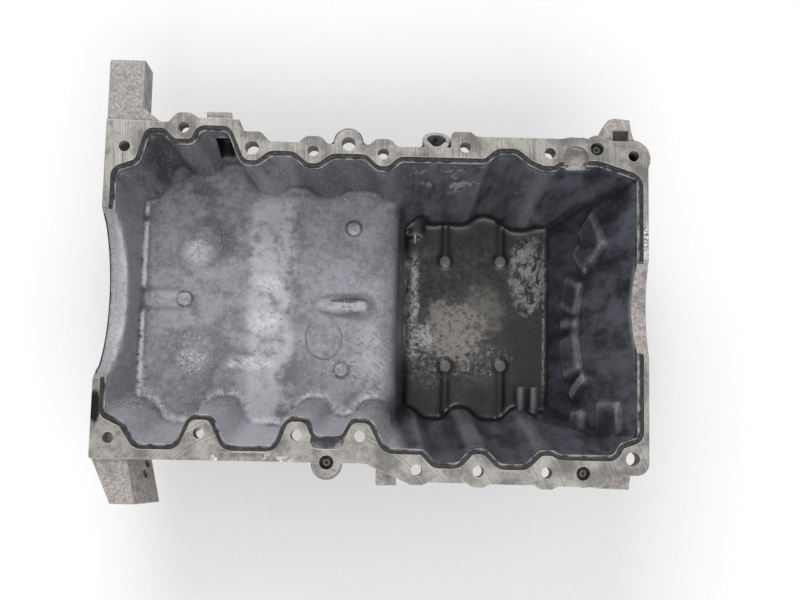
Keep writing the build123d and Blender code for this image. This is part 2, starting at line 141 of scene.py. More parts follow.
# %% A finish and its patterns
class Finish:
    """A Principled material whose patterns follow the piece's own Object coordinates, in millimetres."""

    def __init__(self, name, **constants):
        self.material = bpy.data.materials.new(name)
        self.material.use_nodes = True
        self.tree = self.material.node_tree
        self.shader = self.tree.nodes["Principled BSDF"]
        for socket, value in constants.items():
            self.shader.inputs[socket.replace("_", " ")].default_value = value
        self.place = self.node("ShaderNodeTexCoord").outputs["Object"]
        parts = self.node("ShaderNodeSeparateXYZ", {}, {"Vector": self.place})
        self.x, self.y, self.z = [Value(self, socket) * (1 / mm) for socket in parts.outputs]
        self.rounded = None

    def node(self, kind, settings=None, sockets=None):
        """Adds a node: its settings first, then a value or a link for each named or numbered socket."""
        node = self.tree.nodes.new(kind)
        for setting, value in (settings or {}).items():
            setattr(node, setting, value)
        for key, value in (sockets or {}).items():
            value = value.socket if isinstance(value, Value) else value
            if isinstance(value, bpy.types.NodeSocket):
                self.tree.links.new(value, node.inputs[key])
            else:
                node.inputs[key].default_value = value
        return node

    def grain(self, size, detail=3.0, roughness=0.55, stretch=(1, 1, 1), turn=0.0, warp=0.0):
        """Noise from 0 to 1 with blotches of a size in mm, stretched along axes turned about Z in degrees."""
        turned = self.node("ShaderNodeMapping", {"vector_type": "TEXTURE"},
                           {"Vector": self.place, "Rotation": (0, 0, radians(turn)),
                            "Scale": [size * mm * side for side in stretch]})
        noise = self.node("ShaderNodeTexNoise", {"noise_dimensions": "3D"},
                          {"Vector": turned.outputs[0], "Scale": 1.0, "Detail": detail,
                           "Roughness": roughness, "Distortion": warp})
        return Value(self, noise.outputs[0])

    def rings(self, x, y, pitch):
        """Noise of only the distance from (x, y): the arcs of a turning cutter, pitch mm apart."""
        away_x = self.x - x
        away_y = self.y - y
        away = (away_x * away_x + away_y * away_y).root() / pitch
        along = self.node("ShaderNodeCombineXYZ", {}, {0: away})
        noise = self.node("ShaderNodeTexNoise", {},
                          {"Vector": along.outputs[0], "Scale": 1.0, "Detail": 3.0})
        return Value(self, noise.outputs[0])

    def attribute(self, name):
        """A number that the piece's own mesh carries at each of its points."""
        return Value(self, self.node("ShaderNodeAttribute", {"attribute_name": name}).outputs["Fac"])

    def edges(self, radius):
        """0 on flat ground and more on edges: how far a normal rounded over radius mm turns away."""
        self.rounded = self.node("ShaderNodeBevel", {"samples": 6}, {"Radius": radius * mm}).outputs[0]
        surface = self.node("ShaderNodeNewGeometry")
        facing = self.node("ShaderNodeVectorMath", {"operation": "DOT_PRODUCT"},
                           {0: self.rounded, 1: surface.outputs["Normal"]})
        return 1 - Value(self, facing.outputs["Value"])

    def spot(self, place, edge=0.6, ragged=None):
        """1 in an ellipse, 0 from its rim out; place is (x, y, reach_x, reach_y), ragged moves the rim."""
        x, y, reach_x, reach_y = place
        across = (self.x - x) / reach_x
        along = (self.y - y) / reach_y
        away = across * across + along * along
        if ragged is not None:
            away = away + ragged
        return away.rise(1.0, 1.0 - edge)

    def dot(self, x, y, reach, edge):
        """A round spot."""
        return self.spot((x, y, reach, reach), edge)

    def blots(self, places, ragged):
        """The most of several ragged spots whose rims are wide and soft."""
        return reduce(Value.most, [self.spot(place, edge=0.95, ragged=ragged) for place in places])

    def mix(self, first, second, share):
        """First colour where share is 0, second where it is 1."""
        node = self.node("ShaderNodeMix", {"data_type": "RGBA", "clamp_factor": True},
                         {0: share, 6: first, 7: second})
        return node.outputs[2]

    def wire(self, colour, roughness, height=None, depth=0.2, metallic=None, coat=None):
        """Feeds the shader; height is a pattern whose full range stands for depth mm of relief."""
        self.tree.links.new(colour, self.shader.inputs["Base Color"])
        self.tree.links.new(roughness.socket, self.shader.inputs["Roughness"])
        if metallic is not None:
            self.tree.links.new(metallic.socket, self.shader.inputs["Metallic"])
        if coat is not None:
            self.tree.links.new(coat.socket, self.shader.inputs["Coat Weight"])
        if height is not None:
            bump = self.node("ShaderNodeBump", {},
                             {"Strength": 1.0, "Distance": depth * mm, "Height": height})
            if self.rounded is not None:
                self.tree.links.new(self.rounded, bump.inputs["Normal"])
            self.tree.links.new(bump.outputs[0], self.shader.inputs["Normal"])
        print("finish", self.material.name, "has", len(self.tree.nodes), "nodes")
        return self.material


def grey(level, red=1.0, blue=1.0):
    """A near grey as a linear colour, with its red and blue as shares of its green."""
    return (level * red, level, level * blue, 1.0)


# %% [markdown]
# ## The milled joint face
# A face mill leaves fine arcs and lines on the flange, and the old gasket compound leaves a warm haze.
# The lines could be modelled, but they are a hundredth of a millimetre deep, so noise that is stretched,
# or that depends only on the distance from the cutter's axis, is enough for colour and bump.


# %% Finish of the joint face
rear_cutter = (-60, -230)
front_cutter = (120, -60)
chipped_edge = (214, 53, 6, 24)
chipped_notch = (-92, -124, 36, 5)
tar_run = (-212, -86, 6, 15)


def milled_joint_face():
    """The cutter's lines and arcs over a warm haze, with pits, rubbed edges, chips and a run of tar."""
    f = Finish("milled_joint_face", Metallic=0.6)
    edge = f.edges(0.8)
    lines = f.grain(0.9, detail=2, stretch=(1, 50, 1), turn=3)
    arcs = f.rings(*rear_cutter, 1.5) * f.y.rise(0, -60) + lines * f.y.rise(-60, 0)
    swirl = f.rings(*front_cutter, 2.6)
    haze = f.grain(24, detail=6, roughness=0.62)
    dirt = f.grain(4, detail=5, roughness=0.65)
    pits = f.grain(1.5, detail=2).rise(0.64, 0.74)
    chips = f.spot(chipped_edge, ragged=dirt * 1.6 - 0.8) * f.grain(2.0).rise(0.48, 0.58)
    notch = f.spot(chipped_notch, ragged=dirt - 0.5) * f.grain(3).rise(0.44, 0.58)
    tar = f.spot(tar_run, ragged=dirt - 0.5)
    colour = f.mix(grey(0.16, 1.04, 0.97), grey(0.36, 1.06, 0.94), haze.rise(0.36, 0.62))
    colour = f.mix(colour, grey(0.12, 1.1, 0.9), arcs.rise(0.53, 0.68) * 0.7)
    bright = arcs.rise(0.45, 0.3) * 0.45 + swirl.rise(0.58, 0.7) * 0.25
    colour = f.mix(colour, grey(0.5, 1.04, 0.96), bright)
    colour = f.mix(colour, grey(0.1, 1.1, 0.9), pits * 0.8 + dirt.rise(0.54, 0.7) * 0.6)
    colour = f.mix(colour, grey(0.62), edge.rise(0.03, 0.14) * dirt.rise(0.3, 0.5) * 0.8)
    colour = f.mix(colour, grey(0.8), chips.most(notch) * 0.85)
    colour = f.mix(colour, grey(0.012, 1, 1.2), tar)
    relief = arcs * 0.6 + swirl * 0.3 - pits * 1.4 + chips * 1.2
    return f.wire(colour, 0.36 + haze * 0.22 + pits * 0.2 - tar * 0.2, relief, depth=0.07)


joint_finish = milled_joint_face()

# %% [markdown]
# ## The ledge under the compound
# Round the mouth the face drops by two millimetres. It was never wiped clean, so it is darker and
# blotchy, with a thin lip where the wall begins. The lip could be a bevelled edge, but bevels break on a
# solid's thin triangles, so the shader finds the edges and paints a highlight on them.


# %% Finish of the ledge
def stained_ledge():
    """Dark and pale blots, with a painted highlight along the edges."""
    f = Finish("stained_ledge", Metallic=0.6)
    edge = f.edges(0.9)
    blot = f.grain(7, detail=5)
    colour = f.mix(grey(0.05, 1, 1.1), grey(0.3, 1.02, 0.98), blot.rise(0.38, 0.66))
    # Painted highlight along the edges, where a bevel would catch the light.
    colour = f.mix(colour, grey(0.58), edge.rise(0.02, 0.12) * blot.rise(0.3, 0.5) * 0.85)
    return f.wire(colour, 0.4 + blot * 0.25, f.grain(1.2), depth=0.12)


ledge_finish = stained_ledge()

# %% [markdown]
# ## The dried tray
# Inside, the skin of the casting is left as it came from the mould. The shallow tray has drained and
# dried to a bluish grey, with a paler band that was wiped, dirt in its hollows and crust round its bosses.
# Painted shade and painted light on the bosses and walls bring out their forms. One large noise could give
# stains anywhere, but these follow the forms. So the colour is laid on in coats, each a grey and a named
# mask.


# %% Ground of the tray
tray_floor = -72
wiped_band = (-104, -66)
lit_band = (-62, 4)
rubbed_by_step = (-2, -46, 22, 42)
wiped_smears = ((-88, 22, 15, 9), (-90, -10, 22, 14), (-100, -46, 32, 7))


def tray_marks(f, shared):
    """The patterns shared by the inside, with the tray's own scrubbed streaks, flecks and mottles."""
    return SimpleNamespace(
        **vars(shared),
        scrub=f.grain(1.6, detail=5, roughness=0.65, stretch=(6, 1, 1), turn=-34, warp=1.0),
        fleck=f.grain(1.5, detail=6, roughness=0.75),
        mottle=f.grain(4, detail=6, roughness=0.7))


def tray_ground(f, marks):
    """Bluish clouds, a paler wiped band, scrubbed streaks along one slant and dark scrapes along another."""
    on_floor = f.z.rise(tray_floor + 5, tray_floor + 1)
    tone = (marks.cloud * 0.5 + marks.blotch * 0.2 + marks.mottle * 0.3).rise(0.38, 0.61)
    colour = f.mix(grey(0.14, blue=1.1), grey(0.29, blue=1.1), tone)
    pale = f.x.within(*wiped_band, 5) * (marks.cloud * 0.6 + marks.blotch * 0.4).rise(0.36, 0.56)
    colour = f.mix(colour, grey(0.46, blue=1.08), pale * 0.75)
    # Painted light on the floor between x -62 and 4.
    lit = f.x.within(*lit_band, 10) * on_floor * marks.mottle
    colour = f.mix(colour, grey(0.4, blue=1.1), lit * 0.35)
    brink = f.x.rise(4, 16) * on_floor
    colour = f.mix(colour, grey(0.13, blue=1.14), brink * (marks.mottle * 0.6 + 0.25))
    near_step = f.blots([rubbed_by_step], marks.ragged) * on_floor
    streaks = (marks.scrub * 0.5 + marks.mottle * 0.5).rise(0.38, 0.6)
    colour = f.mix(colour, grey(0.42, blue=1.06), near_step * streaks * 0.75)
    colour = f.mix(colour, grey(0.5, blue=1.05), marks.scrub.rise(0.56, 0.68) * (pale + 0.25) * 0.45)
    scrape = f.grain(1.2, detail=4, stretch=(10, 1, 1), turn=-12, warp=0.8)
    colour = f.mix(colour, grey(0.09, blue=1.12), scrape.rise(0.6, 0.76) * 0.4)
    streaks = (marks.scrub * 0.6 + marks.mottle * 0.4).rise(0.38, 0.62)
    return f.mix(colour, grey(0.66, blue=1.02), f.blots(wiped_smears, marks.ragged) * streaks * 0.7)


print("the tray's ground has", len(wiped_smears), "wiped smears")

# %% Marks on the tray's bosses
domes = ((-144.4, 54.8), (-146.5, -37.7))
discs = ((-157.5, 6.8), (-16.9, 70.2), (-24.7, -50.0))
bulge_foot_shade = (-27, 4.5, 28, 11.5)
bulge_top = (-27, 4.5, 24, 7.5)
bulge_shade = (-20, 8.5, 19, 2.8)
bulge_highlight = (-24, 2.5, 25, 2.8)
ring_outer = (-40, -24, 16.5, 18.5)
ring_inner = (-40, -24, 15, 17)


def tray_bosses(f, marks, colour):
    """Painted shade beside the domes and round the bulge, painted light on their crests, partly rubbed, dark
    rims round the discs, and one dark broken ring.
    """
    patchy = marks.blotch * 0.6 + 0.4
    rubbed = (marks.mottle * 0.5 + marks.fleck * 0.5).rise(0.36, 0.62)
    for x, y in domes:
        # Painted shade in a crescent on each dome's +x side.
        beside = f.dot(x + 7, y + 2, 25, edge=0.6) - f.dot(x - 3, y - 2, 22, edge=0.75)
        colour = f.mix(colour, grey(0.07, blue=1.1), beside.most(0) * patchy * 0.7)
        # Painted light on each dome's crest towards -x and -y, over rubbed metal.
        crest = f.spot((x - 4, y - 8, 16, 13), edge=0.98, ragged=marks.ragged * 0.7)
        colour = f.mix(colour, grey(0.6), crest * rubbed * 0.8)
    for x, y in discs:
        rim = f.dot(x, y, 8.4, edge=0.35) - f.dot(x, y, 5.6, edge=0.2)
        colour = f.mix(colour, grey(0.05, blue=1.1), rim * 0.7)
    # Painted shade round the bulge's foot and on one side, and a painted highlight on its crest.
    foot = f.spot(bulge_foot_shade, edge=0.5) - f.spot(bulge_top, edge=0.5)
    colour = f.mix(colour, grey(0.06, blue=1.1), foot * patchy * 0.6)
    colour = f.mix(colour, grey(0.05, blue=1.1), f.spot(bulge_shade) * 0.8)
    crest = f.spot(bulge_highlight, edge=0.8) * marks.mottle.rise(0.3, 0.6)
    colour = f.mix(colour, grey(0.5, blue=1.04), crest * 0.25)
    wavy = marks.ragged * 0.2
    ring = f.spot(ring_outer, edge=0.1, ragged=wavy) - f.spot(ring_inner, edge=0.1, ragged=wavy)
    broken = f.y.rise(-6, -16) * marks.mottle.rise(0.36, 0.54)
    return f.mix(colour, grey(0.07, blue=1.1), ring * broken * 0.7)


print("marks for", len(domes), "domes and", len(discs), "discs")

# %% Dirt, painted shade, painted sheen and crust of the tray
rear_foot = -192.0
rear_foot_run = (-82, 90)
rear_rib_run = (-4, 17)
haloed_disc = discs[2]
halo_reach = (15, 12)
crusted_dome = (-148, -45, 19, 12)
crusted_corner = (-194, -84, 12, 8)


def tray_crust(f, marks, colour):
    """Dirt in hollows with painted shade in upper ones, painted sheen in lower ones, worn ridges and white
    crust; also gives the crust.
    """
    upper = f.y.rise(-60, -30)
    patchy = marks.blotch * 0.6 + 0.4
    # Hollows darkened as dirt, and much more in the upper half as painted shade.
    colour = f.mix(colour, grey(0.06, blue=1.12), marks.dirt * patchy * (upper * 0.7 + 0.22))
    # Painted sheen in the lower hollows, along the foot of the lower walls.
    dust_and_sheen = marks.dirt * marks.mottle.rise(0.36, 0.6) * (1 - upper)
    colour = f.mix(colour, grey(0.62, blue=1.04), dust_and_sheen * 0.4)
    colour = f.mix(colour, grey(0.5, blue=1.05), marks.worn * marks.blotch.rise(0.3, 0.55) * 0.4)
    halo = f.spot((*haloed_disc, *halo_reach), edge=0.9, ragged=marks.ragged * 0.5)
    halo = halo - f.dot(*haloed_disc, 6.5, edge=0.2)
    crust = f.blots([crusted_dome], marks.ragged).most(halo * 0.6)
    crust = crust.most(f.blots([crusted_corner], marks.ragged))
    crust = crust * (marks.fleck * 0.7 + marks.mottle * 0.3).rise(0.46, 0.58)
    # A pale line of crust along the rear foot, which also stands for a painted highlight on that edge.
    line = abs(f.x - rear_foot + (marks.mottle - 0.5) * 5).rise(2.6, 0.6)
    line = line * f.z.rise(tray_floor + 10, tray_floor + 4)
    line = line * f.y.within(*rear_foot_run, 6) * (1 - f.y.within(*rear_rib_run, 3))
    crust = crust.most(line * (marks.fleck * 0.9 + 0.3) * marks.blotch.rise(0.3, 0.5))
    return f.mix(colour, grey(0.8), crust * 0.8), crust


def tray_walls(f, marks, colour):
    """Painted shade and oil stain on the upper wall, painted light on the lower wall, a paler rear wall, then
    specks and nicks over everything.
    """
    shade = f.y.rise(80, 96) * f.grain(12, detail=4).rise(0.42, 0.6) * f.x.rise(-130, -160)
    colour = f.mix(colour, grey(0.05, blue=1.15), shade * 0.6)
    # Painted shade on the upper wall, over blotches of oil stain.
    shaded_upper_wall = f.z.rise(tray_floor + 2, tray_floor + 6) * f.y.rise(70, 94)
    colour = f.mix(colour, grey(0.06, blue=1.14), shaded_upper_wall * (marks.blotch * 0.5 + 0.22))
    # Painted light on the lower wall.
    lit_lower_wall = f.z.rise(tray_floor + 4, tray_floor + 14) * f.y.rise(-76, -96)
    colour = f.mix(colour, grey(0.52, blue=1.08), lit_lower_wall * (marks.mottle * 0.8 + 0.25))
    rear_wall = f.z.rise(tray_floor + 3, tray_floor + 10) * f.x.rise(-189, -195) * f.y.within(-84, 96, 12)
    colour = f.mix(colour, grey(0.42, blue=1.08), rear_wall * (marks.mottle * 0.6 + 0.15))
    speck = f.grain(1.2, detail=3, roughness=0.65).rise(0.6, 0.7)
    colour = f.mix(colour, grey(0.7), speck * 0.6)
    nick = f.grain(1.1, detail=4, stretch=(5, 1, 1), turn=40, warp=0.5).rise(0.64, 0.72)
    return f.mix(colour, grey(0.06, blue=1.1), nick * 0.45)


def dried_tray(f, shared):
    """The tray's coats in their order; gives the colour and the mask of the crust."""
    marks = tray_marks(f, shared)
    colour = tray_bosses(f, marks, tray_ground(f, marks))
    colour, crust = tray_crust(f, marks, colour)
    return tray_walls(f, marks, colour), crust


print("crust lies along the rear foot at x", rear_foot)

# %% [markdown]
# ## The oily sump
# The deep sump keeps a dark film of old oil. Sludge has settled in the middle of its floor, a scraper has
# bared the metal beside it, and edges that hands and tools reach are rubbed bright, with a painted
# highlight on them. Its film could be a clear layer of its own, but it is too thin to show a thickness,
# so it is a coat weight on the same skin.


# %% Film and floor of the sump
sump_floor = -150
front_foot = 159.0
sludge_pool = (74, -8, 34, 33)
sludge_tail = (100, 12, 24, 26)
scraped_patch = (143, 44, 22, 46)
litter_patches = ((52, -36, 26, 44), (90, -34, 44, 20))


def sump_film(f, marks):
    """Blue-black clouds of oil, with pale daubs high on the upper wall and fine flecks."""
    film = f.grain(18, detail=6, roughness=0.62, warp=0.15)
    tone = (film * 0.7 + marks.mottle * 0.3).rise(0.36, 0.64)
    colour = f.mix(grey(0.03, 0.93, 1.26), grey(0.14, 0.95, 1.18), tone)
    daubed = f.x.within(26, 92, 14) * f.z.within(-66, -12, 9) * f.y.rise(60, 90)
    daub = f.grain(8, detail=6, roughness=0.72, stretch=(1.6, 1, 1), warp=0.3).rise(0.52, 0.62)
    colour = f.mix(colour, grey(0.4, 0.98, 1.02), daubed * daub * 0.75)
    return f.mix(colour, grey(0.3, 0.98, 1.04), marks.fleck.rise(0.6, 0.72) * 0.3)


def sump_bottom(f, marks):
    """Murk that darkens to the front, a pool of sludge, scraped metal and litter; also gives the sludge."""
    murk = (marks.cloud * 0.3 + marks.blotch * 0.3 + marks.mottle * 0.4).rise(0.4, 0.6)
    murk = murk * (f.x.rise(150, 90) * 0.85 + 0.1)
    colour = f.mix(grey(0.012, blue=1.06), grey(0.085, 1.02, 0.98), murk)
    torn = marks.ragged * 1.5
    sludge = f.spot(sludge_pool, edge=0.8, ragged=torn).most(f.blots([sludge_tail], torn) * 0.45)
    sludge = sludge * (marks.mottle * 0.6 + marks.fleck * 0.4).rise(0.34, 0.5)
    colour = f.mix(colour, grey(0.55, 1.07, 0.9), sludge * (marks.blotch * 0.7 + 0.3) * 0.9)
    drag = f.grain(6, detail=6, roughness=0.72, stretch=(1, 1.6, 1), turn=-25, warp=0.8)
    scraped = f.spot(scraped_patch, edge=0.9, ragged=marks.ragged) * drag.rise(0.44, 0.54)
    colour = f.mix(colour, grey(0.46, 1.02, 0.96), scraped * (marks.mottle * 0.8 + 0.3) * 0.9)
    litter = f.blots(litter_patches, marks.ragged)
    litter = litter * (marks.fleck * 0.6 + marks.mottle * 0.4).rise(0.5, 0.6)
    colour = f.mix(colour, grey(0.45, 1.03, 0.95), litter * 0.75)
    line = abs(f.x - front_foot + 2 + (marks.blotch - 0.5) * 3).rise(1.6, 0.6)
    colour = f.mix(colour, grey(0.5), line * drag.rise(0.4, 0.54) * 0.75)
    by_wall = f.y.rise(62, 80).most(f.y.rise(-46, -66)) * marks.mottle.rise(0.36, 0.56)
    return f.mix(colour, grey(0.012, blue=1.1), by_wall * 0.7), sludge


print("the sump's floor is at z", sump_floor)

# %% Marks on the sump's forms
sump_discs = ((66.0, 55.3), (116.7, 56.5), (67.6, -40.3), (117.8, -39.1))
step_foot = 30.0
step_residue = (44, -14, 15, 14)
posts = (141, -72, 18, 24)


def sump_forms(f, marks, colour, on_floor):
    """Dark skirts, drain boss, disc rims, hollows darkened as dirt and painted shade, pale residue by the
    step, and edges rubbed bright with a painted highlight.
    """
    side_walls = f.y.rise(60, 66).most(f.y.rise(-48, -56))
    skirt = f.z.rise(sump_floor, sump_floor + 1) * f.z.rise(sump_floor + 12, sump_floor + 5)
    colour = f.mix(colour, grey(0.015, blue=1.1), skirt * side_walls * f.x.rise(152, 146) * 0.9)
    boss = f.x.within(24, 51, 2) * f.y.rise(68, 73) * f.z.rise(sump_floor + 28, sump_floor + 22)
    colour = f.mix(colour, grey(0.02, blue=1.1), boss * (marks.mottle * 0.4 + 0.7))
    ridge = abs(f.x - step_foot - 5 + (marks.blotch - 0.5) * 16).rise(8, 3)
    ridge = ridge.most(f.blots([step_residue], marks.ragged)) * f.y.within(-34, 60, 9)
    residue = ridge * f.z.rise(sump_floor + 18, sump_floor + 9)
    residue = residue * (marks.fleck * 0.5 + marks.mottle * 0.5).rise(0.4, 0.52)
    colour = f.mix(colour, grey(0.7), residue * 0.85)
    low = f.z.rise(sump_floor + 20, sump_floor + 10)
    for x, y in sump_discs:
        rim = f.dot(x, y, 9.5, edge=0.3) - f.dot(x, y, 5.4, edge=0.2)
        colour = f.mix(colour, grey(0.01, blue=1.05), rim * on_floor * 0.85)
        colour = f.mix(colour, grey(0.2, 1.02, 0.98), f.dot(x, y, 5, edge=0.2) * low * 0.6)
    # Hollows darkened as dirt and painted shade.
    colour = f.mix(colour, grey(0.012, blue=1.15), marks.dirt * (marks.blotch * 0.4 + 0.6) * 0.9)
    # Convex edges brightened: rubbed metal and painted highlights.
    rubbed = marks.worn * marks.fleck.rise(0.3, 0.56) * f.z.rise(sump_floor + 2, sump_floor + 10)
    rubbed = rubbed * (0.7 - f.x.rise(140, 150) * 0.2) * (1 - boss)
    on_posts = f.spot(posts, edge=0.3) * f.z.rise(sump_floor + 40, sump_floor + 26)
    return f.mix(colour, grey(0.42, 0.99, 1.0), rubbed * (1 - on_posts * 0.75)), residue


def oily_sump(f, shared):
    """The sump's coats in their order; gives the colour and the masks of sludge and residue."""
    marks = SimpleNamespace(**vars(shared), fleck=f.grain(1.7, detail=6, roughness=0.75),
                            mottle=f.grain(5, detail=6, roughness=0.7))
    on_floor = f.z.rise(sump_floor + 5, sump_floor + 1.5)
    bottom, sludge = sump_bottom(f, marks)
    colour = f.mix(sump_film(f, marks), bottom, on_floor)
    colour, residue = sump_forms(f, marks, colour, on_floor)
    return colour, sludge * on_floor, residue


print("marks for", len(sump_discs), "discs in the sump")

# %% [markdown]
# ## Tray and sump as one skin
# The tray and the sump are one surface of one casting, and the oil's tide line lies along the step. Two
# materials would meet in a hard line of faces, so one material holds both, and a ragged mask along the
# step joins them.


# %% Finish of the inside
runs_down = 0.3
slot_x = (-129.5, -117.5)
slot_z = (-56, -14)


def oily_inside():
    """Tray and sump colours joined along the step; runs_down draws every pattern out along the walls."""
    f = Finish("oily_inside", Coat_Roughness=0.25, Specular_IOR_Level=0.4)
    f.place = f.node("ShaderNodeMapping", {}, {"Vector": f.place, "Scale": (1, 1, runs_down)}).outputs[0]
    hollow = f.attribute("hollow")
    cloud = f.grain(36, detail=6, roughness=0.62, warp=0.5)
    blotch = f.grain(8, detail=5, roughness=0.62)
    # dirt marks the hollows: the coats darken them as dirt and painted shade, and lighten the low ones in the
    # tray as painted sheen; worn marks the convex edges.
    shared = SimpleNamespace(cloud=cloud, blotch=blotch, ragged=blotch * 2.4 - 1.2,
                             dirt=hollow.rise(0.07, 0.4), worn=hollow.rise(-0.08, -0.4))
    tray, crust = dried_tray(f, shared)
    sump, sludge, residue = oily_sump(f, shared)
    deep = (f.x + f.z * -0.1 + blotch * 8).rise(24, 40)
    colour = f.mix(tray, sump, deep)
    # Painted shade: the slot in the upper wall is painted near black.
    slot = f.x.within(*slot_x, 0.5) * f.y.rise(117, 123) * f.z.within(*slot_z, 1)
    colour = f.mix(colour, grey(0.012, blue=1.1), slot)
    grit = f.grain(1.6, detail=5, roughness=0.68).rise(0.36, 0.62)
    rim = f.mix(grey(0.2, blue=1.04), grey(0.36, 1.01, 1.02), grit)
    colour = f.mix(colour, rim, f.x.rise(-204, -208) * 0.8)
    skin = f.grain(0.9, detail=3, roughness=0.6)
    roughness = 0.5 - deep * 0.14 + cloud * 0.14 + crust * 0.2 + (sludge + residue) * deep * 0.2
    relief = skin * 0.6 + blotch * 0.5 + crust * 0.9 + (sludge * f.grain(2, detail=4) + residue) * deep
    return f.wire(colour, roughness, relief, depth=0.5,
                  metallic=0.5 - deep * 0.25 - crust * 0.3, coat=deep * (1 - sludge) * 0.5)


inside_finish = oily_inside()

# %% [markdown]
# ## Rough cast and plain cast skin
# The lugs and tabs are beige and speckled by the sand of the mould. The outside is the same skin, greyer
# and with traces of road dirt. Grit could be displaced geometry, but it is finer than any net that could
# carry it, so grains of two sizes give its colour and bump, and edges are rubbed bright.


# %% Finishes of the rough cast lugs and of the outside
def rough_lug():
    """Coarse speckle under larger dark blots, with bright edges."""
    f = Finish("rough_lug", Metallic=0.3)
    edge = f.edges(1.2)
    coarse = f.grain(2.6, detail=6, roughness=0.75)
    blot = f.grain(13, detail=6, roughness=0.65)
    colour = f.mix(grey(0.18, 1.08, 0.95), grey(0.4, 1.07, 0.95), coarse.rise(0.36, 0.62))
    colour = f.mix(colour, grey(0.1, 1.1, 0.9), (blot * 0.7 + coarse * 0.3).rise(0.5, 0.64) * 0.7)
    colour = f.mix(colour, grey(0.55, 1.04, 0.97), edge.rise(0.03, 0.16) * blot.rise(0.3, 0.5) * 0.7)
    return f.wire(colour, 0.55 + coarse * 0.25, coarse, depth=0.5)


def cast_outside():
    """Fine cast skin with clouds of road dirt, streaks that run down, and bright edges where it is clean."""
    f = Finish("cast_outside", Metallic=0.5)
    edge = f.edges(1.4)
    skin = f.grain(1.3, detail=5, roughness=0.66)
    dirt = f.grain(40, detail=6, roughness=0.62)
    streak = f.grain(8, detail=4, stretch=(1, 1, 6))
    colour = f.mix(grey(0.24, 1.02, 0.99), grey(0.4, 1.02, 0.98), skin.rise(0.32, 0.66))
    colour = f.mix(colour, grey(0.1, 1.1, 0.88), dirt.rise(0.48, 0.7) * 0.7)
    colour = f.mix(colour, grey(0.16, 1.05, 0.94), streak.rise(0.54, 0.72) * 0.45)
    colour = f.mix(colour, grey(0.6), edge.rise(0.03, 0.16) * dirt.rise(0.6, 0.4) * 0.7)
    return f.wire(colour, 0.48 + dirt * 0.25, skin + dirt * 0.4, depth=0.35)


lug_finish = rough_lug()
outside_finish = cast_outside()

# %% [markdown]
# ## Sorting the casting's faces
# The pan is one casting, but its surfaces come from different tools. They could be picked by hand, face
# by face. Instead a merged copy of the solid is sorted by height, by direction and by rays that ask
# whether a face sees a point above the open mouth, so a change to the solid needs no new picking.


# %% Copy the casting
merge_distance = 0.02


def merged_copy(node, name):
    """A copy of a node's mesh with its loose triangles merged."""
    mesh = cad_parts[node].data.copy()
    mesh.name = name
    sheet = bmesh.new()
    sheet.from_mesh(mesh)
    bmesh.ops.remove_doubles(sheet, verts=sheet.verts, dist=merge_distance * mm)
    sheet.to_mesh(mesh)
    sheet.free()
    piece = bpy.data.objects.new(name, mesh)
    bpy.context.scene.collection.objects.link(piece)
    return piece


def read(items, name, width, kind=float):
    """One property of all of a mesh's items as an array with a row for each item."""
    values = np.empty(len(items) * width, dtype=kind)
    items.foreach_get(name, values)
    return values.reshape(-1, width)


casting = merged_copy("pan_casting", "casting")
solid_tree = BVHTree.FromPolygons([v.co for v in casting.data.vertices],
                                  [p.vertices for p in casting.data.polygons])
print("casting:", len(casting.data.vertices), "points,", len(casting.data.polygons), "faces")

# %% Sort its faces into zones
zones = ["joint", "ledge", "inside", "rough", "outside"]
joint_z = 0.0
ledge_z = -2.0
near = 0.3
just_below = 0.2
mouth_x = (-204, 211)
mouth_y = (-131, 136)
tray_mouth_y = -117
flange_x = 195
flange_y = 100
arch_half = 72
arch_z = -45
port_x = 52.0
port_reach = 16.0
port_y = 122
port_z = -40
slot_place = (-123.5, 128)
slot_reach = (8, 15)
slot_low = -58
front_pocket = (160, 119)
pocket_reach = 12
pocket_z = -9
widest_bore = 14
deepest_bore = -25
above_mouth = [(0, 0, 9), (-0.1, 0, 0.35), (0.1, 0, 0.35), (0, -0.1, 0.3), (0, 0.1, 0.3),
               (-0.15, 0, 0.02), (0.1, 0, 0.02), (0, -0.05, 0.02), (0, 0.05, 0.02)]


def views_of_faces(centre, normal, tree):
    """For each face: is the sky above it open, does it see above the mouth, and its free gap in mm."""
    start = [Vector(p) for p in (centre + normal * near * mm)]
    targets = [Vector(p) for p in above_mouth]
    up = Vector((0, 0, 1))
    open_sky = np.array([tree.ray_cast(p, up)[0] is None for p in start])
    seen = np.array([any(tree.ray_cast(p, t - p)[0] is None for t in targets) for p in start])
    gaps = [tree.ray_cast(p, Vector(n))[3] for p, n in zip(start, normal)]
    return open_sky, seen, np.array([1.0 if gap is None else gap for gap in gaps]) / mm


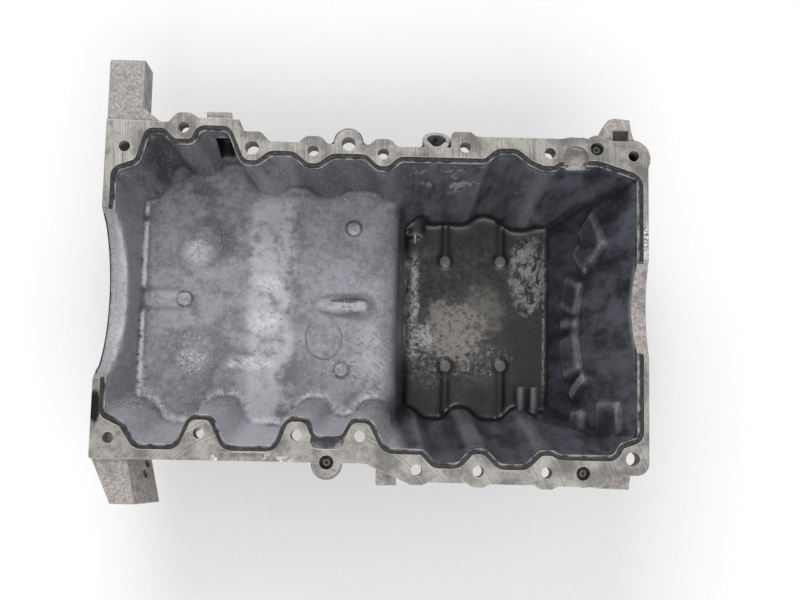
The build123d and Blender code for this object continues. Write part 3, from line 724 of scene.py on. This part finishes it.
def zone_of_faces(mesh, tree):
    """For each face the number of its zone, from its height, direction, place and view of the mouth."""
    centre = read(mesh.polygons, "center", 3)
    normal = read(mesh.polygons, "normal", 3)
    open_sky, seen, room = views_of_faces(centre, normal, tree)
    x, y, z = (centre / mm).T
    under_joint = z < joint_z - near
    under_ledge = z < ledge_z - near
    in_mouth = z < ledge_z - just_below
    faces_up = normal[:, 2] > 0.95
    lowest_y = np.where(x < 0, tray_mouth_y, mouth_y[0])
    over_mouth = (x > mouth_x[0]) & (x < mouth_x[1]) & (y > lowest_y) & (y < mouth_y[1])
    bore = (room < widest_bore) & (z > deepest_bore)
    turned_out = (normal[:, 1] * np.sign(y) > 0.3) & (np.abs(y) > flange_y)
    turned_out |= (normal[:, 0] * np.sign(x) > 0.3) & (np.abs(x) > flange_x)
    port = (np.abs(x - port_x) < port_reach) & (y > port_y) & (z > port_z) & under_ledge
    pocket = np.hypot(x - front_pocket[0], y - front_pocket[1]) < pocket_reach
    slot = (np.abs(x - slot_place[0]) < slot_reach[0]) & (np.abs(y - slot_place[1]) < slot_reach[1])
    slot &= in_mouth & (z > slot_low)
    arch = (np.abs(normal[:, 0]) < 0.05) & (normal[:, 2] > 0.5) & (z > arch_z)
    arch &= (np.abs(x) > flange_x) & (np.abs(y) < arch_half) & under_joint
    zone = np.full(len(centre), zones.index("outside"))
    zone[open_sky & ~over_mouth & under_ledge] = zones.index("rough")
    zone[seen & over_mouth & ~bore & ~turned_out & in_mouth] = zones.index("inside")
    zone[port & open_sky] = zones.index("rough")
    zone[port & (room < 2 * widest_bore)] = zones.index("ledge")
    zone[pocket & (z > pocket_z) & in_mouth] = zones.index("rough")
    zone[(arch & (x < 0)) | (slot & seen)] = zones.index("inside")
    zone[arch & (x > 0)] = zones.index("rough")
    zone[(np.abs(z - ledge_z) < near) & faces_up] = zones.index("ledge")
    zone[(np.abs(z - joint_z) < near) & faces_up] = zones.index("joint")
    return zone


zone = zone_of_faces(casting.data, solid_tree)
print("faces by zone:", {name: int((zone == i).sum()) for i, name in enumerate(zones)})

# %% [markdown]
# ## The cast skin of the inside
# A sand mould can't hold a sharp corner, so every edge inside the pan is round. Bevels break on the long
# thin triangles of a solid. Instead the solid is filled with small cubes, which gives an even net over
# it. Each point of the net then moves towards the middle of its neighbours, for fewer rounds on small
# bosses than on walls.


# %% Even net over the solid
net_size = 1.9


def even_net(piece, size):
    """The piece's surface as an even net of squares with sides of a size in mm."""
    fill = piece.modifiers.new("even net", "REMESH")
    fill.mode = "VOXEL"
    fill.voxel_size = size * mm
    graph = bpy.context.evaluated_depsgraph_get()
    net = bpy.data.meshes.new_from_object(piece.evaluated_get(graph))
    piece.modifiers.remove(fill)
    return net


net = even_net(casting, net_size)
points = read(net.vertices, "co", 3)
pairs = read(net.edges, "vertices", 2, np.int32)
corners = read(net.loops, "vertex_index", 1, np.int32).reshape(-1, 4)
print("net:", len(points), "points,", len(corners), "squares")

# %% Round its edges
half_way = 0.5
rounds_everywhere = 4
rounds_on_walls = 14
disc_reach = 9.5
dome_reach = 26
sump_rib_half = 6
sump_rib_z = -140
drain_boss = (37.5, -138.5)
drain_boss_reach = 15
drain_boss_y = 55
pads_box = ((150, inf), (-inf, inf), (-140, -14))
pads_share = 0.6
small_boxes = {"rear rib": ((-191, -150), (-4.2, 17.8), (-inf, -60)),
               "bulge": ((-61, 7), (-9.5, 18.5), (-inf, -58)),
               "posts": ((124, 156), (-inf, -50), (-inf, -120)),
               "rear arch": ((-inf, -196), (-75, 75), (-50, inf)),
               "wall slot": ((-131, -116), (104, inf), (-58, -12))}


def relax(values, pairs, share, rounds):
    """Each round moves every row by a share of the way to the mean of the rows that it is paired with."""
    ends = pairs.ravel()
    others = pairs[:, ::-1].ravel()
    count = len(values)
    degree = np.bincount(ends, minlength=count)[:, None]
    for _ in range(rounds):
        total = [np.bincount(ends, column[others], count) for column in values.T]
        values = values + share * (np.column_stack(total) / degree - values)
    return values


def in_box(place, box):
    """True for each point between a box's low and high sides along x, y and z."""
    sides = [(line > low) & (line < high) for line, (low, high) in zip(place, box)]
    return sides[0] & sides[1] & sides[2]


def small_forms(place):
    """1 at the bosses, ribs and slots that a few rounds already smooth enough, less at pads, 0 elsewhere."""
    x, y, z = place
    small = (np.hypot(x - drain_boss[0], z - drain_boss[1]) < drain_boss_reach) & (y > drain_boss_y)
    for disc_x, disc_y in discs + sump_discs:
        small |= np.hypot(x - disc_x, y - disc_y) < disc_reach
    for disc_x, disc_y in sump_discs:
        beyond = (y - disc_y) * np.sign(disc_y) > 0
        small |= (np.abs(x - disc_x) < sump_rib_half) & beyond & (z < sump_rib_z)
    for dome_x, dome_y in domes:
        small |= np.hypot(x - dome_x, y - dome_y) < dome_reach
    for box in small_boxes.values():
        small |= in_box(place, box)
    return np.maximum(small, in_box(place, pads_box) * pads_share)


points = relax(points, pairs, half_way, rounds_everywhere)
still_moving = 1 - small_forms((points / mm).T)
points = relax(points, pairs, half_way * still_moving[:, None], rounds_on_walls)
print("rounded:", int((still_moving == 1).sum()), "points on walls and floors")

# %% Note where it is hollow
rounds_to_feel = 10
rounds_to_blur = 2
quad = points[corners]
across = np.cross(quad[:, 2] - quad[:, 0], quad[:, 3] - quad[:, 1])
point_normal = np.column_stack([np.bincount(corners.ravel(), np.repeat(column, 4), len(points))
                                for column in across.T])
point_normal /= np.linalg.norm(point_normal, axis=1)[:, None] + 1e-12
moved = relax(points, pairs, half_way, rounds_to_feel) - points
hollow = (moved * point_normal).sum(axis=1)[:, None] / mm
hollow = relax(hollow, pairs, half_way, rounds_to_blur).ravel()
print("hollow from", round(float(hollow.min()), 2), "to", round(float(hollow.max()), 2), "mm")

# %% Keep the inside of the net
seam_z = -6.0
overlap = 1.5
rings_added = 2
inside = zones.index("inside")
middle = quad.mean(axis=1)
low = middle[:, 2] < (seam_z + overlap) * mm
nearest = np.array([solid_tree.find_nearest(Vector(p))[2] for p in middle[low]])
kept = np.zeros(len(corners), dtype=bool)
kept[np.flatnonzero(low)] = zone[nearest] == inside
for _ in range(rings_added):
    touched = np.zeros(len(points), dtype=bool)
    touched[corners[kept]] = True
    kept = touched[corners].any(axis=1) & low
used, skin_faces = np.unique(corners[kept], return_inverse=True)
skin_faces = skin_faces.reshape(-1, 4)
print("skin:", len(used), "points,", len(skin_faces), "squares")


# %% Cut the crisp part of the casting
def without_inside(mesh, zone):
    """A copy of the mesh, sorted by zone, whose inside faces are cut at the seam and deleted below it."""
    sheet = bmesh.new()
    sheet.from_mesh(mesh)
    for face, number in zip(sheet.faces, zone):
        face.material_index = int(number)
    wall = [face for face in sheet.faces if face.material_index == inside]
    wall_edges = {edge for face in wall for edge in face.edges}
    wall_points = {point for face in wall for point in face.verts}
    bmesh.ops.bisect_plane(sheet, geom=wall + list(wall_edges) + list(wall_points), dist=1e-6,
                           plane_co=(0, 0, seam_z * mm), plane_no=(0, 0, 1))
    covered = [face for face in sheet.faces
               if face.material_index == inside and face.calc_center_median().z < seam_z * mm]
    bmesh.ops.delete(sheet, geom=covered, context="FACES")
    bmesh.ops.triangulate(sheet, faces=[face for face in sheet.faces if len(face.verts) > 4])
    crisp = bpy.data.meshes.new("crisp")
    sheet.to_mesh(crisp)
    sheet.free()
    return crisp


crisp = without_inside(casting.data, zone)
print("crisp part:", len(crisp.polygons), "faces")

# %% Join the skin to it
crisp_points = read(crisp.vertices, "co", 3)
crisp_faces = [tuple(face.vertices) for face in crisp.polygons]
crisp_zone = read(crisp.polygons, "material_index", 1, np.int32).ravel()
joined = bpy.data.meshes.new("casting")
joined.from_pydata(np.vstack([crisp_points, points[used]]), [],
                   crisp_faces + (skin_faces + len(crisp_points)).tolist())
joined_zone = np.append(crisp_zone, np.full(len(skin_faces), inside, np.int32))
joined.polygons.foreach_set("material_index", joined_zone)
joined_hollow = np.append(np.zeros(len(crisp_points)), hollow[used]).astype(np.float32)
joined.attributes.new("hollow", "FLOAT", "POINT").data.foreach_set("value", joined_hollow)
for finish in (joint_finish, ledge_finish, inside_finish, lug_finish, outside_finish):
    joined.materials.append(finish)
casting.data = joined
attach(casting, "root")
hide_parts("pan_casting")
print("joined:", len(joined.polygons), "faces")

# %% [markdown]
# ## Smooth walls
# The flutes are round and the floors are flat. More faces could round them further, but smooth shading
# bends the light for nothing. Edges that turn sharply are marked, and the Weighted Normal modifier lets
# the large flat faces keep their own direction.


# %% Smooth the casting
sharp_angle = 32
largest_face_weight = 100


def smooth(piece, angle):
    """Smooth shading that stays sharp where the surface turns by more than angle degrees."""
    mesh = piece.data
    mesh.polygons.foreach_set("use_smooth", np.ones(len(mesh.polygons), dtype=bool))
    mesh.set_sharp_from_angle(angle=radians(angle))
    weighted = piece.modifiers.new("flat faces stay flat", "WEIGHTED_NORMAL")
    weighted.mode = "FACE_AREA"
    weighted.weight = largest_face_weight
    weighted.keep_sharp = True


smooth(casting, sharp_angle)
casting.data.calc_loop_triangles()
print("casting:", len(casting.data.loop_triangles), "triangles")

# %% [markdown]
# ## The small pieces
# The sealant, bolts, plug and washer are simple turned or laid forms, so they keep their solids. New
# meshes would add nothing, and what tells them apart is their finish: skinned black compound, blackened
# steel, zinc plate and bare soft aluminium.


# %% Finishes of the sealant and the bolts
bolt_places = ((177.0, 127.3), (-32.3, -125.1), (166.7, -129.7))


def skinned_sealant():
    """Lumpy black compound with patches of pale dust."""
    f = Finish("skinned_sealant", Specular_IOR_Level=0.5)
    lump = f.grain(4, detail=3)
    dust_and_sheen = f.grain(1.2, detail=3).rise(0.58, 0.72)
    colour = f.mix(grey(0.008), grey(0.03), lump.rise(0.35, 0.7))
    colour = f.mix(colour, grey(0.22, 1.04, 0.96), dust_and_sheen * f.grain(18, detail=3).rise(0.5, 0.66))
    return f.wire(colour, 0.25 + lump * 0.2 + dust_and_sheen * 0.3, lump + dust_and_sheen * 0.3, depth=0.5)


def blackened_steel():
    """Black steel worn grey in places, with a painted highlight ring in each bolt's end."""
    f = Finish("blackened_steel", Metallic=0.7)
    wear = f.grain(1.5, detail=4)
    colour = f.mix(grey(0.02), grey(0.12, 1.04, 0.96), wear.rise(0.5, 0.7))
    for x, y in bolt_places:
        # Painted highlight: a pale ring on the edge in each bolt's end.
        ring = f.dot(x, y, 2.9, edge=0.35) - f.dot(x, y, 1.9, edge=0.35)
        colour = f.mix(colour, grey(0.3), ring * 0.6)
    return f.wire(colour, 0.38 + wear * 0.2, wear, depth=0.1)


# %% Finishes of the plug and the washer
rust_brown = (0.16, 0.07, 0.03, 1)


def zinc_plate():
    """Warm and cool plate in clouds, with spots of rust."""
    f = Finish("zinc_plate", Metallic=0.9)
    tint = f.grain(6, detail=4)
    rust = f.grain(3, detail=5).rise(0.62, 0.75)
    colour = f.mix(grey(0.42, 1.06, 0.92), grey(0.6, 1.02, 0.97), tint.rise(0.3, 0.7))
    colour = f.mix(colour, rust_brown, rust * 0.6)
    return f.wire(colour, 0.3 + tint * 0.2 + rust * 0.3, tint, depth=0.08)


def soft_washer():
    """Bright soft metal with fine marks."""
    f = Finish("soft_washer", Metallic=0.9)
    mark = f.grain(0.8, detail=3)
    colour = f.mix(grey(0.5), grey(0.7), mark.rise(0.3, 0.7))
    return f.wire(colour, 0.35 + mark * 0.2, mark, depth=0.06)


small_finishes = {"sealant_bead": skinned_sealant, "captive_bolts": blackened_steel,
                  "drain_plug": zinc_plate, "drain_washer": soft_washer}
for node, make in small_finishes.items():
    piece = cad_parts[node]
    piece.data.materials.clear()
    piece.data.materials.append(make())
print("finished nodes:", sorted(small_finishes))

# %% [markdown]
# ## Stage and light
# A pale floor and a pale room light the pan from all sides. Lamps alone would leave the sump black. A
# large soft lamp beyond the upper edge throws the upper walls into shade and lights the lower ones, and a
# weaker one beside the camera opens the sump.


# %% Floor and room
scene = bpy.context.scene
scene.view_settings.view_transform = "Standard"
floor_z = cad_box[0][2]
floor_half = 3.0
room_strength = 0.6
floor_corners = [(x * floor_half, y * floor_half, floor_z) for x, y in ((-1, -1), (1, -1), (1, 1), (-1, 1))]
floor_mesh = bpy.data.meshes.new("floor")
floor_mesh.from_pydata(floor_corners, [], [(0, 1, 2, 3)])
floor = bpy.data.objects.new("floor", floor_mesh)
scene.collection.objects.link(floor)
paper = Finish("pale_floor", Specular_IOR_Level=0.2)
fibre = paper.grain(3, detail=2)
floor_mesh.materials.append(paper.wire(paper.mix(grey(0.78), grey(0.82), fibre), 0.8 + fibre * 0.1))

world = bpy.data.worlds.new("pale room")
scene.world = world
world.use_nodes = True
world.node_tree.nodes["Background"].inputs["Color"].default_value = grey(1.0)
world.node_tree.nodes["Background"].inputs["Strength"].default_value = room_strength
print("floor at", round(floor_z / mm, 1), "mm")


# %% Lamps
def soft_lamp(name, place, target, size, watts):
    """A square area lamp at a place in metres that looks at a target."""
    data = bpy.data.lights.new(name, "AREA")
    data.size = size
    data.energy = watts
    lamp = bpy.data.objects.new(name, data)
    scene.collection.objects.link(lamp)
    back = np.array(place) - np.array(target)
    back = back / np.linalg.norm(back)
    right = np.cross((0, 1, 0.001), back)
    right = right / np.linalg.norm(right)
    up = np.cross(back, right)
    lamp.matrix_world = Matrix.Translation(place) @ Matrix(np.column_stack([right, up, back])).to_4x4()
    print("lamp", name, "of", watts, "W")


soft_lamp("window", place=(-0.35, 1.5, 1.25), target=(0, 0, -0.05), size=1.1, watts=25)
soft_lamp("room", place=(0.2, -1.2, 1.4), target=(0, -0.1, -0.05), size=1.5, watts=22)

# %% [markdown]
# ## Camera
# The view is almost straight down into the mouth, with a slight tilt and lean. Aiming the camera at a
# target would lose the lean, so its place and its three angles are given.

# %% Camera
camera_place = (0.000838, -0.099545, 0.894747)
camera_angles = (6.4495, -1.4847, 1.2152)
camera_data = bpy.data.cameras.new("camera")
camera_data.sensor_width = 36
camera_data.lens = 51.75
camera = bpy.data.objects.new("camera", camera_data)
scene.collection.objects.link(camera)
camera.matrix_world = Matrix.LocRotScale(Vector(camera_place),
                                         Euler([radians(angle) for angle in camera_angles]), None)
scene.camera = camera
print("camera looks down from", round(camera.location.z, 3), "m")

# %% [markdown]
# ## Finish
